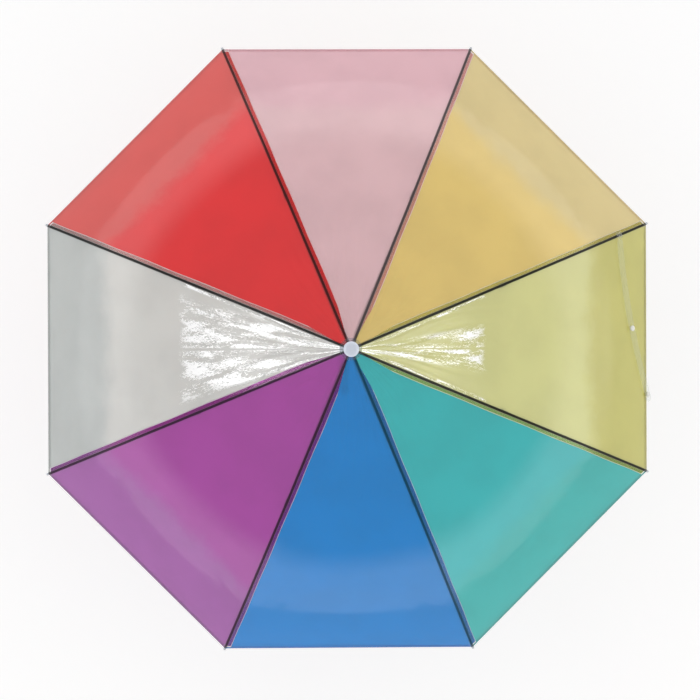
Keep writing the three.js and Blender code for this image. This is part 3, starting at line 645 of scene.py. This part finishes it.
def flap_mesh(side, rows, start):
    """The welded edge that lies on the neighbour, beyond the rib at this side."""
    stations = rows[rows <= RIB_LENGTH - 0.0005]
    widths = np.array(FLAP_STEPS)
    along, width = np.meshgrid(stations, widths, indexing="ij")
    room = np.clip((along - 0.004) / 0.05, 0.0, 1.0)
    width = width * room + 0.0002
    wave = 0.0003 * np.sin(60 * along + 2.0) * (width / FLAP_WIDTH) * room
    outward = FILM_CAD_THICKNESS / 2 + FLAP_LIFT
    half = arch(along, film_offset(along) + outward)[0] * math.sin(HALF_STEP)
    across = side * (half - width - wave)
    points = mirrored(film_place(along, across, outward), side)
    places = np.stack([along, side * (half + width), side * HALF_STEP * (1 + width / half)], -1)
    columns = len(widths)
    faces = grid_faces(len(stations), columns, start)
    if side < 0:
        faces = [tuple(reversed(face)) for face in faces]
    return points.reshape(-1, 3), places.reshape(-1, 3), faces


def flap_seam(side, edge, columns, row_count, start):
    """Faces that carry the panel's edge over the seam into its flap."""
    width = len(FLAP_STEPS)
    faces = []
    for row in range(row_count - 2):
        low, high = row * columns + edge, (row + 1) * columns + edge
        flap_low, flap_high = start + row * width, start + (row + 1) * width
        face = (low, flap_low, flap_high, high)
        faces.append(face if side > 0 else tuple(reversed(face)))
    return faces


def add_panel(index, name):
    tone, hem_tone_with_painted_reflection = FILM_LOOKS[name]
    creases = CREASES.get(name, PLAIN_CREASES)
    strength = creases / 0.3
    points, faces, places = panel_mesh(1.7 * index + 0.4, FLAPS[name], strength)
    azimuth = STEP * (index + 1)
    glint_fan = GLINT_FANS.get(name, PLAIN_GLINT_FAN)
    painted_rib_shade = PAINTED_RIB_SHADES.get(name, PLAIN_PAINTED_RIB_SHADE)
    look = film(f"film_{name}_look", tone, hem_tone_with_painted_reflection, creases, glint_fan, painted_rib_shade)
    made = new_piece(f"film_{name}", turn(points, azimuth), faces, look)
    vectors = np.stack([places[:, 0] * 1000, places[:, 1] * 1000, np.degrees(places[:, 2])], 1)
    stored = made.data.attributes.new("film_place", "FLOAT_VECTOR", "POINT")
    stored.data.foreach_set("vector", vectors.astype(np.float32).ravel())
    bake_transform(made)
    thickened(made, FILM_THICKNESS)
    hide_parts(f"panel_{name}")


# ------------------------------------------------------------------ ribs and stretchers
def channel_section(width, height, wall, radius=0.00035):
    """A U section open downward, with rounded outer corners; (across, up) points."""
    side, half = width / 2, height / 2
    corners = [
        (-side, -half, True),
        (-side, half),
        (side, half),
        (side, -half, True),
        (side - wall, -half, True),
        (side - wall, half - wall),
        (-side + wall, half - wall),
        (-side + wall, -half, True),
    ]
    return rounded(corners, radius, 3)


def carried(section, stations, place):
    points = [place(x, y, station) for station in stations for x, y in section]
    return np.array(points), tube_faces(len(stations), len(section))


def on_rib(x, y, along):
    out, up, _ = arch(along, y)
    return (out, x, up)


def eye_plate(start, length, half_height, eye, hole, thickness, place):
    """A flattened end with a round eye; place takes (across, outward, along)."""
    reach = math.asin(half_height / eye)
    angles = np.linspace(reach, 2 * math.pi - reach, 25)
    outer = [(length, half_height)] + [(eye * math.cos(a), eye * math.sin(a)) for a in angles]
    outer.append((length, -half_height))
    count = len(outer)
    inner = []
    for x, y in outer:
        size = math.hypot(x, y)
        inner.append((hole * x / size, hole * y / size))
    points = []
    for side in (-0.5, 0.5):
        points += [place(side * thickness, y, start + x) for x, y in outer]
        points += [place(side * thickness, y, start + x) for x, y in inner]
    faces = []
    for i in range(count):
        j = (i + 1) % count
        faces.append((i, j, count + j, count + i))
        faces.append((2 * count + j, 2 * count + i, 3 * count + i, 3 * count + j))
        faces.append((j, i, 2 * count + i, 2 * count + j))
        faces.append((count + i, count + j, 3 * count + j, 3 * count + i))
    return np.array(points), faces


def joined_piece(name, parts, material, azimuth):
    points, faces = [], []
    for part_points, part_faces in parts:
        start = sum(len(block) for block in points)
        points.append(part_points)
        faces += [tuple(start + i for i in face) for face in part_faces]
    made = new_piece(name, turn(np.concatenate(points), azimuth), faces, material)
    return sharpened(made, 30.0)


def add_rib(index):
    """An arched channel with a flattened eye at the crown and a round pin at the hem."""
    section = channel_section(RIB_WIDTH, RIB_HEIGHT, CHANNEL_WALL)
    beam = carried(section, np.linspace(0.012, 0.488, 64), on_rib)
    pin_angles = np.linspace(0, 2 * math.pi, 16, endpoint=False)
    pin_section = [(PIN_RADIUS * math.cos(a), PIN_RADIUS * math.sin(a)) for a in pin_angles]
    pin = carried(pin_section, np.linspace(0.482, 0.498, 6), on_rib)
    eye = eye_plate(0.0, 0.020, 0.0011, EYE_RADIUS, EYE_HOLE, EYE_THICKNESS, on_rib)
    made = joined_piece(f"rib_bar_{index + 1}", [beam, pin, eye], black_steel, rib_azimuth(index))
    ride_and_replace(made, f"rib_{index + 1}", f"rib_{index + 1}")


def on_link(x, y, along):
    cos, sin = math.cos(LINK_ANGLE), math.sin(LINK_ANGLE)
    return (PIVOT_RADIUS + along * cos - y * sin, x, RUNNER_OPEN + along * sin + y * cos)


def on_link_end(x, y, along):
    return on_link(x, y, LINK_LENGTH - along)


def add_stretcher(index):
    """A straight channel with a flattened eye at each end."""
    section = channel_section(LINK_WIDTH, LINK_HEIGHT, CHANNEL_WALL, 0.0003)
    beam = carried(section, np.linspace(0.012, LINK_LENGTH - 0.009, 12), on_link)
    inner = eye_plate(0.0, 0.018, 0.0010, EYE_RADIUS, EYE_HOLE, EYE_THICKNESS, on_link)
    rivet_hole = 0.00105
    points, faces = eye_plate(0.0, 0.015, 0.0010, EYE_RADIUS, rivet_hole, EYE_THICKNESS, on_link_end)
    outer = (points, [tuple(reversed(face)) for face in faces])
    parts = [beam, inner, outer]
    made = joined_piece(f"stretcher_bar_{index + 1}", parts, black_steel, rib_azimuth(index))
    ride_and_replace(made, f"stretcher_{index + 1}", f"stretcher_{index + 1}")


def moved_to(made, origin, axis_z):
    """Moves a piece built about the Z axis to where its axis and origin belong."""
    turned_to = Vector((0, 0, 1)).rotation_difference(Vector(axis_z))
    made.data.transform(Matrix.Translation(Vector(origin)) @ turned_to.to_matrix().to_4x4())


def add_tip(index):
    """A moulded sleeve with a mould ring and a round end, pushed on the rib's end."""
    radius = TIP_RADIUS
    profile = [(TIP_BORE_RADIUS, 0.0), (radius * 0.94, 0.0), (radius, 0.0004), (radius, 0.0052)]
    profile += [(radius * 0.9, 0.0056), (radius * 0.9, 0.0066), (radius, 0.0070)]
    for k in range(9):
        angle = math.pi / 2 * k / 8
        profile.append((radius * math.cos(angle), TIP_LENGTH - radius + radius * math.sin(angle)))
    profile += [(0.0, TIP_BORE_DEPTH), (TIP_BORE_RADIUS, TIP_BORE_DEPTH)]
    made = turned(f"tip_sleeve_{index + 1}", profile, tip_plastic, 32)
    out, up, slope = arch(RIB_LENGTH - TIP_LENGTH + TIP_REACH)
    azimuth = rib_azimuth(index)
    origin = (out * math.cos(azimuth), out * math.sin(azimuth), up)
    level = math.cos(slope)
    axis = (level * math.cos(azimuth), level * math.sin(azimuth), -math.sin(slope))
    moved_to(made, origin, axis)
    ride_and_replace(made, f"rib_{index + 1}", f"rib_tip_{index + 1}")


# ------------------------------------------------------------------ crown, shaft and runner
def station_of(out):
    """How far along a rib it is this far out from the shaft."""
    return (math.asin(math.sin(SLOPE_TOP) + (out - PIVOT_RADIUS) / BEND) - SLOPE_TOP) * BEND


def film_top(out):
    """The height of the film's upper side over a rib, this far out from the shaft."""
    along = station_of(out)
    return float(arch(along, film_offset(along) + FILM_CAD_THICKNESS)[1])


def ride_and_replace(made, body, node):
    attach(made, body)
    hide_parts(node)


def add_shaft():
    """The steel tube, with its two catch slots cut through the front wall."""
    low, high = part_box("shaft")
    end_radius = SHAFT_RADIUS - 0.0003
    rise = np.linspace(low.z + 0.0004, high.z - 0.0004, 60)
    profile = [(SHAFT_INNER_RADIUS, low.z), (end_radius, low.z)]
    profile += [(SHAFT_RADIUS, z) for z in rise]
    profile += [(end_radius, high.z), (SHAFT_INNER_RADIUS, high.z)]
    made = turned("shaft_tube", profile, bright_steel, 64)
    cutters = [catch_cutter(node) for node in ("upper_catch", "lower_catch")]
    carve(made, cutters)
    ride_and_replace(made, "pole", "shaft")


def catch_cutter(node):
    """The rounded slot that a catch stands in."""
    low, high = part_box(node)
    middle = (low.z + high.z) / 2
    corners = [(-SLOT_HALF_WIDTH, -SLOT_HALF_HEIGHT), (SLOT_HALF_WIDTH, -SLOT_HALF_HEIGHT)]
    corners += [(SLOT_HALF_WIDTH, SLOT_HALF_HEIGHT), (-SLOT_HALF_WIDTH, SLOT_HALF_HEIGHT)]
    outline = rounded(corners, 0.0008, 4)
    points = [(x, y, middle + z) for x in (0.001, 0.006) for y, z in outline]
    return new_piece("cutter", points, tube_faces(2, len(outline)), bright_steel, False)


def carve(made, cutters):
    """Cuts the cutters out of a piece, and removes them."""
    for cutter in cutters:
        cut = made.modifiers.new("cut", "BOOLEAN")
        cut.operation = "DIFFERENCE"
        cut.solver = "EXACT"
        cut.object = cutter
    bpy.context.view_layer.update()
    graph = bpy.context.evaluated_depsgraph_get()
    result = bpy.data.meshes.new_from_object(made.evaluated_get(graph))
    made.modifiers.clear()
    made.data = result
    for cutter in cutters:
        bpy.data.objects.remove(cutter)


def add_washer():
    """A thin dished disc of clear plastic with a rolled rim."""
    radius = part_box("crown_washer")[1].x
    outer = film_top(WASHER_SEAT_RADIUS) + 0.0005
    inner = film_top(BORE_RADIUS) + 0.0005
    corners = [
        (BORE_RADIUS, inner),
        (radius - 0.0012, outer + 0.0001),
        (radius - 0.0001, outer),
        (radius - 0.0001, outer + 0.0012),
        (radius - 0.0012, outer + 0.0010),
        (BORE_RADIUS, inner + 0.0012),
    ]
    made = turned("washer_disc", rounded(corners, 0.0004, 3), washer_film, 72)
    ride_and_replace(made, "pole", "crown_washer")


def add_cap():
    """The ferrule: skirt, neck and blunt head, with a shallow ring moulded in its flat top."""
    low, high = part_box("ferrule_cap")
    top, bottom = high.z, low.z
    corners = [
        (BORE_RADIUS, bottom, True),
        (CAP_SKIRT_RADIUS, bottom),
        (CAP_SKIRT_RADIUS, bottom + 0.002),
        (CAP_NECK_RADIUS, bottom + 0.005),
        (CAP_NECK_RADIUS, top - 0.012),
        (0.0087, top - 0.010),
        (CAP_HEAD_RADIUS, top - 0.008, True),
    ]
    profile = rounded(corners, 0.0006, 3)
    for k in range(1, 13):
        angle = math.pi / 2 * k / 12
        inset = CAP_EDGE_ROUND * (1 - math.cos(angle))
        height = top - CAP_EDGE_ROUND + CAP_EDGE_ROUND * math.sin(angle)
        profile.append((CAP_HEAD_RADIUS - inset, height))
    profile += [(0.0050, top), (0.0047, top - 0.0003), (0.0040, top - 0.0004), (0.0, top - 0.0004)]
    profile += [(0.0, CAP_BORE_TOP), (BORE_RADIUS, CAP_BORE_TOP)]
    made = turned("cap_body", profile, white_plastic, 72)
    ride_and_replace(made, "pole", "ferrule_cap")


def add_collar():
    """The ring that eases the shaft into the handle."""
    low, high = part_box("handle_collar")
    bottom, top = low.z, high.z
    corners = [
        (BORE_RADIUS, bottom, True),
        (COLLAR_RADIUS, bottom),
        (COLLAR_RADIUS, bottom + 0.003),
        (0.0065, top - 0.001),
        (0.0055, top),
        (BORE_RADIUS, top, True),
    ]
    profile = rounded(corners, 0.0008, 4)
    made = turned("collar_ring", profile, white_plastic, 72)
    ride_and_replace(made, "pole", "handle_collar")


# ------------------------------------------------------------------ handle
def hook_place(x, y, travel):
    """The J handle: travel runs from the grip's top, round the hook, to its end."""
    bend = math.pi * HOOK_RADIUS
    along = travel - 2 * GRIP_HALF_LENGTH
    total = bend + HOOK_END
    thin = min(max(along / total, 0.0), 1.0)
    scale = 1 + (HOOK_TIP_RADIUS / GRIP_RADIUS - 1) * thin
    past = max(0.0, along - total + HOOK_TIP_RADIUS) / HOOK_TIP_RADIUS
    scale *= math.sqrt(max(0.0004, 1 - min(past, 1.0) ** 2))
    side = y * scale
    if along <= 0:
        return (side, x * scale, GRIP_HALF_LENGTH - travel)
    angle = min(along / HOOK_RADIUS, math.pi)
    reach = HOOK_RADIUS - side
    rise = max(0.0, along - bend)
    height = -GRIP_HALF_LENGTH - reach * math.sin(angle) + rise
    return (HOOK_RADIUS - reach * math.cos(angle), x * scale, height)


def grip_groove(travel):
    """Shallow finger rings round the grip's middle."""
    share = (travel - 0.018) / 0.054
    if not 0 < share < 1:
        return 1.0
    fade = math.sin(math.pi * share) ** 0.5
    return 1 - 0.045 * fade * (0.5 - 0.5 * math.cos(2 * math.pi * share * 9))


def add_handle():
    """The J handle: a ringed grip, a hook that thins out, and a bore for the shaft."""
    bend = math.pi * HOOK_RADIUS
    end = 2 * GRIP_HALF_LENGTH + bend + HOOK_END
    grip = np.linspace(0.0008, 2 * GRIP_HALF_LENGTH, 110)
    hook = np.linspace(2 * GRIP_HALF_LENGTH, end - HOOK_TIP_RADIUS, 64)[1:]
    nose = end - HOOK_TIP_RADIUS * (1 - np.sin(np.linspace(0, math.pi / 2, 12)))[1:]
    travels = np.concatenate([[0.0], grip, hook, nose])
    sides = 40
    points = []
    for travel in travels:
        swell = 0.96 if travel == 0.0 else grip_groove(travel)
        for i in range(sides):
            angle = 2 * math.pi * i / sides
            x, y = GRIP_RADIUS * swell * math.cos(angle), GRIP_RADIUS * swell * math.sin(angle)
            points.append(hook_place(x, y, travel))
    points = turn(points, math.radians(-90))
    made = new_piece("handle_body", points, tube_faces(len(travels), sides), grip_plastic)
    bore_top = GRIP_HALF_LENGTH + 0.001
    profile = [(0.0, bore_top), (0.0, HANDLE_BORE_BOTTOM)]
    profile += [(BORE_RADIUS, HANDLE_BORE_BOTTOM), (BORE_RADIUS, bore_top)]
    carve(made, [turned("bore", profile, grip_plastic, 40)])
    sharpened_again(made)
    ride_and_replace(made, "pole", "handle")


def sharpened_again(made):
    """Marks the hard edges afresh after a cut."""
    found = made.data.attributes.get("sharp_edge")
    if found is not None:
        made.data.attributes.remove(found)
    sharpened(made, 40.0)


# ------------------------------------------------------------------ closing strap
def strap_line(length):
    """The strap's curve on its panel: where it is this far from the tab, and where it heads."""
    rate = (STRAP_TURN_END - STRAP_TURN_START) / STRAP_LENGTH
    heading = STRAP_TURN_START + rate * length
    edge = arch(STRAP_STATION, float(film_offset(STRAP_STATION)))[0] * math.sin(HALF_STEP)
    along = STRAP_STATION + (math.cos(STRAP_TURN_START) - math.cos(heading)) / rate
    drift = (math.sin(heading) - math.sin(STRAP_TURN_START)) / rate
    across = edge - TAB_WIDTH / 2 - 0.0003 - drift
    return along, across, heading


def strap_place(length, side, outward):
    along, across, heading = strap_line(length)
    place = film_place(
        along + side * math.cos(heading),
        across + side * math.sin(heading),
        FILM_CAD_THICKNESS + STRAP_LIFT + outward,
    )
    return Vector(place)


def add_strap():
    """A welded strip with rounded ends, that carries both halves of the snap."""
    lengths = np.linspace(0, STRAP_LENGTH, 93)
    sides = np.linspace(-0.5, 0.5, 11)
    points = []
    for length in lengths:
        near = min(length, STRAP_LENGTH - length)
        into_corner = max(0.0, STRAP_CORNER - near)
        inset = STRAP_CORNER - math.sqrt(max(0.0, STRAP_CORNER ** 2 - into_corner ** 2))
        width = STRAP_WIDTH - 2 * inset * 0.9
        for side in sides:
            wave = 0.00012 * math.sin(95 * length) * math.sin(3 * side)
            points.append(strap_place(length, side * width, STRAP_MIDDLE + wave))
    made = new_piece("strap_strip", points, grid_faces(len(lengths), len(sides)), strap_film)
    thickened(made, STRAP_THICKNESS)
    bevelled(made, 0.0001, 1)
    ride_and_replace(made, "strap", "closing_strap")
    stud = add_snap("snap_stud", SNAP_STATIONS[0], True)
    socket = add_snap("snap_socket", SNAP_STATIONS[1], False)


def add_snap(node, length, has_stud):
    """A snap fastener half: a domed cap with a ring, a post, and a back washer."""
    above = 0.0007
    profile = [(0.0, -above - 0.0011), (0.0026, -above - 0.0011), (0.0030, -above - 0.0008)]
    profile += [(0.0031, -above), (0.0014, -above), (0.0014, above), (0.0037, above)]
    profile += [(0.0038, above + 0.0003), (0.0037, above + 0.0008), (0.0031, above + 0.0012)]
    if has_stud:
        profile += [(0.0020, above + 0.0012), (0.0018, above + 0.0017), (0.0010, above + 0.0018)]
    else:
        profile += [(0.0024, above + 0.0016), (0.0017, above + 0.0012), (0.0008, above + 0.0011)]
    profile.append((0.0, profile[-1][1]))
    made = turned(f"{node}_button", profile, snap_plastic, 40)
    centre = strap_place(length, 0.0, STRAP_MIDDLE)
    axis = (strap_place(length, 0.0, 0.001) - strap_place(length, 0.0, 0.0)).normalized()
    moved_to(made, centre, axis)
    ride_and_replace(made, "strap", node)
    return made


def add_tab():
    """The small folded tab over the seam, that the strap hangs from."""
    base = float(film_offset(STRAP_STATION)) + FILM_CAD_THICKNESS + STRAP_LIFT
    steps = np.linspace(-0.5, 0.5, 13)
    points = []
    for row in steps:
        along = STRAP_STATION + row * TAB_LENGTH
        width = TAB_WIDTH * (1 - 0.12 * (2 * abs(row)) ** 6)
        for column in steps:
            droop = 0.15 * abs(column) * TAB_WIDTH
            points.append(on_rib(column * width, base - droop, along))
    faces = grid_faces(len(steps), len(steps))
    made = new_piece("tab_patch", turn(points, rib_azimuth(0)), faces, strap_film)
    thickened(made, STRAP_THICKNESS)
    bevelled(made, 0.0001, 1)
    ride_and_replace(made, "rib_1", "strap_tab")


# ------------------------------------------------------------------ carried-over nodes
def dress_node(name, material, bevel=0.0):
    """Gives a piece of the frame its material, and breaks its hard edges."""
    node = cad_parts[name]
    node.data.materials.clear()
    node.data.materials.append(material)
    if bevel:
        bevelled(node, bevel)


def dress_kept_nodes():
    dress_node("top_notch", white_plastic, 0.0002)
    dress_node("runner", white_plastic, 0.0002)
    for name in ("notch_wire", "runner_wire"):
        dress_node(name, bright_steel)
    for name in ("upper_catch", "lower_catch"):
        dress_node(name, bright_steel, 0.0002)
    for index in range(RIB_COUNT):
        dress_node(f"rib_clip_{index + 1}", black_steel, 0.00012)


# ------------------------------------------------------------------ stage, light and camera
def add_floor():
    """A white ground that glows a little, just below the handle."""
    shader = Shader("floor_look")
    place = shader.node("ShaderNodeTexCoord").outputs["Object"]
    darker, lighter = colour(0.86, 0.86, 0.86), colour(0.88, 0.88, 0.88)
    tone = shader.blend(shader.noise(place, 2.0, 2.0), darker, lighter)
    matte = shader.node("ShaderNodeBsdfDiffuse", {"Color": tone}).outputs[0]
    glow = shader.node("ShaderNodeEmission", {"Color": tone, "Strength": 0.42}).outputs[0]
    look = shader.finish(shader.node("ShaderNodeAddShader", {0: matte, 1: glow}).outputs[0])
    height = cad_low.z - 0.002
    half = 9.0
    corners = [(x * half, y * half, height) for x, y in ((-1, -1), (1, -1), (1, 1), (-1, 1))]
    new_piece("floor", corners, [(0, 1, 2, 3)], look, False)


def add_world():
    """Bright near the horizon, dimmer overhead, as in a small white room with a dark ceiling."""
    world = bpy.data.worlds.new("studio")
    world.use_nodes = True
    tree = world.node_tree
    tree.nodes.clear()
    place = tree.nodes.new("ShaderNodeTexCoord")
    split = tree.nodes.new("ShaderNodeSeparateXYZ")
    ramp = tree.nodes.new("ShaderNodeValToRGB")
    sky = tree.nodes.new("ShaderNodeBackground")
    out = tree.nodes.new("ShaderNodeOutputWorld")
    tree.links.new(place.outputs["Generated"], split.inputs[0])
    tree.links.new(split.outputs[2], ramp.inputs[0])
    tree.links.new(ramp.outputs[0], sky.inputs[0])
    tree.links.new(sky.outputs[0], out.inputs[0])
    stops = ramp.color_ramp.elements
    stops[0].position, stops[0].color = 0.14, colour(1.0, 1.0, 1.0)
    stops[1].position, stops[1].color = 0.24, colour(0.40, 0.40, 0.40)
    sky.inputs[1].default_value = 1.75
    bpy.context.scene.world = world


def add_light(name, azimuth, lean, distance, size, power):
    """A soft panel light that faces the crown; lean is its angle (degrees) off the vertical."""
    lamp = bpy.data.lights.new(name, "AREA")
    lamp.shape = "RECTANGLE"
    lamp.size, lamp.size_y = size
    lamp.energy = power
    made = bpy.data.objects.new(name, lamp)
    lean, azimuth = math.radians(lean), math.radians(azimuth)
    level = math.sin(lean)
    away = Vector((level * math.cos(azimuth), level * math.sin(azimuth), math.cos(lean)))
    made.location = Vector((0, 0, CROWN_HEIGHT - 0.05)) + away * distance
    across = Vector((-math.sin(azimuth), math.cos(azimuth), 0.0))
    along = across.cross(away)
    made.visible_diffuse = False
    made.rotation_euler = Matrix((along, across, away)).transposed().to_euler()
    bpy.context.scene.collection.objects.link(made)


def add_camera():
    """A camera three metres up that looks straight down, nearly, with the +Y axis upward."""
    place = Vector((-0.040, 0.007, 3.0))
    target = Vector((0.003, -0.002, 0.323))
    forward = (target - place).normalized()
    roll = math.radians(0.22)
    hint = Vector((math.sin(roll), math.cos(roll), 0.0))
    right = forward.cross(hint).normalized()
    upward = right.cross(forward)
    lens = bpy.data.cameras.new("camera")
    lens.sensor_width = 36.0
    lens.lens = 101.6
    lens.clip_end = 60.0
    made = bpy.data.objects.new("camera", lens)
    facing = Matrix((right, upward, -forward)).transposed().to_4x4()
    made.matrix_world = Matrix.Translation(place) @ facing
    bpy.context.scene.collection.objects.link(made)
    bpy.context.scene.camera = made


# ------------------------------------------------------------------ assembly
add_camera()
add_floor()
add_world()
add_light("left_panel", 180.0, 39.0, 1.9, (0.92, 0.50), 9.0)
add_light("right_panel", 0.0, 37.5, 1.9, (0.84, 0.50), 9.0)
bpy.context.scene.view_settings.view_transform = "Standard"

for index, name in enumerate(FILM_LOOKS):
    add_panel(index, name)
for index in range(RIB_COUNT):
    add_rib(index)
    add_tip(index)
    add_stretcher(index)
add_shaft()
add_washer()
add_cap()
add_collar()
add_handle()
add_strap()
add_tab()
dress_kept_nodes()
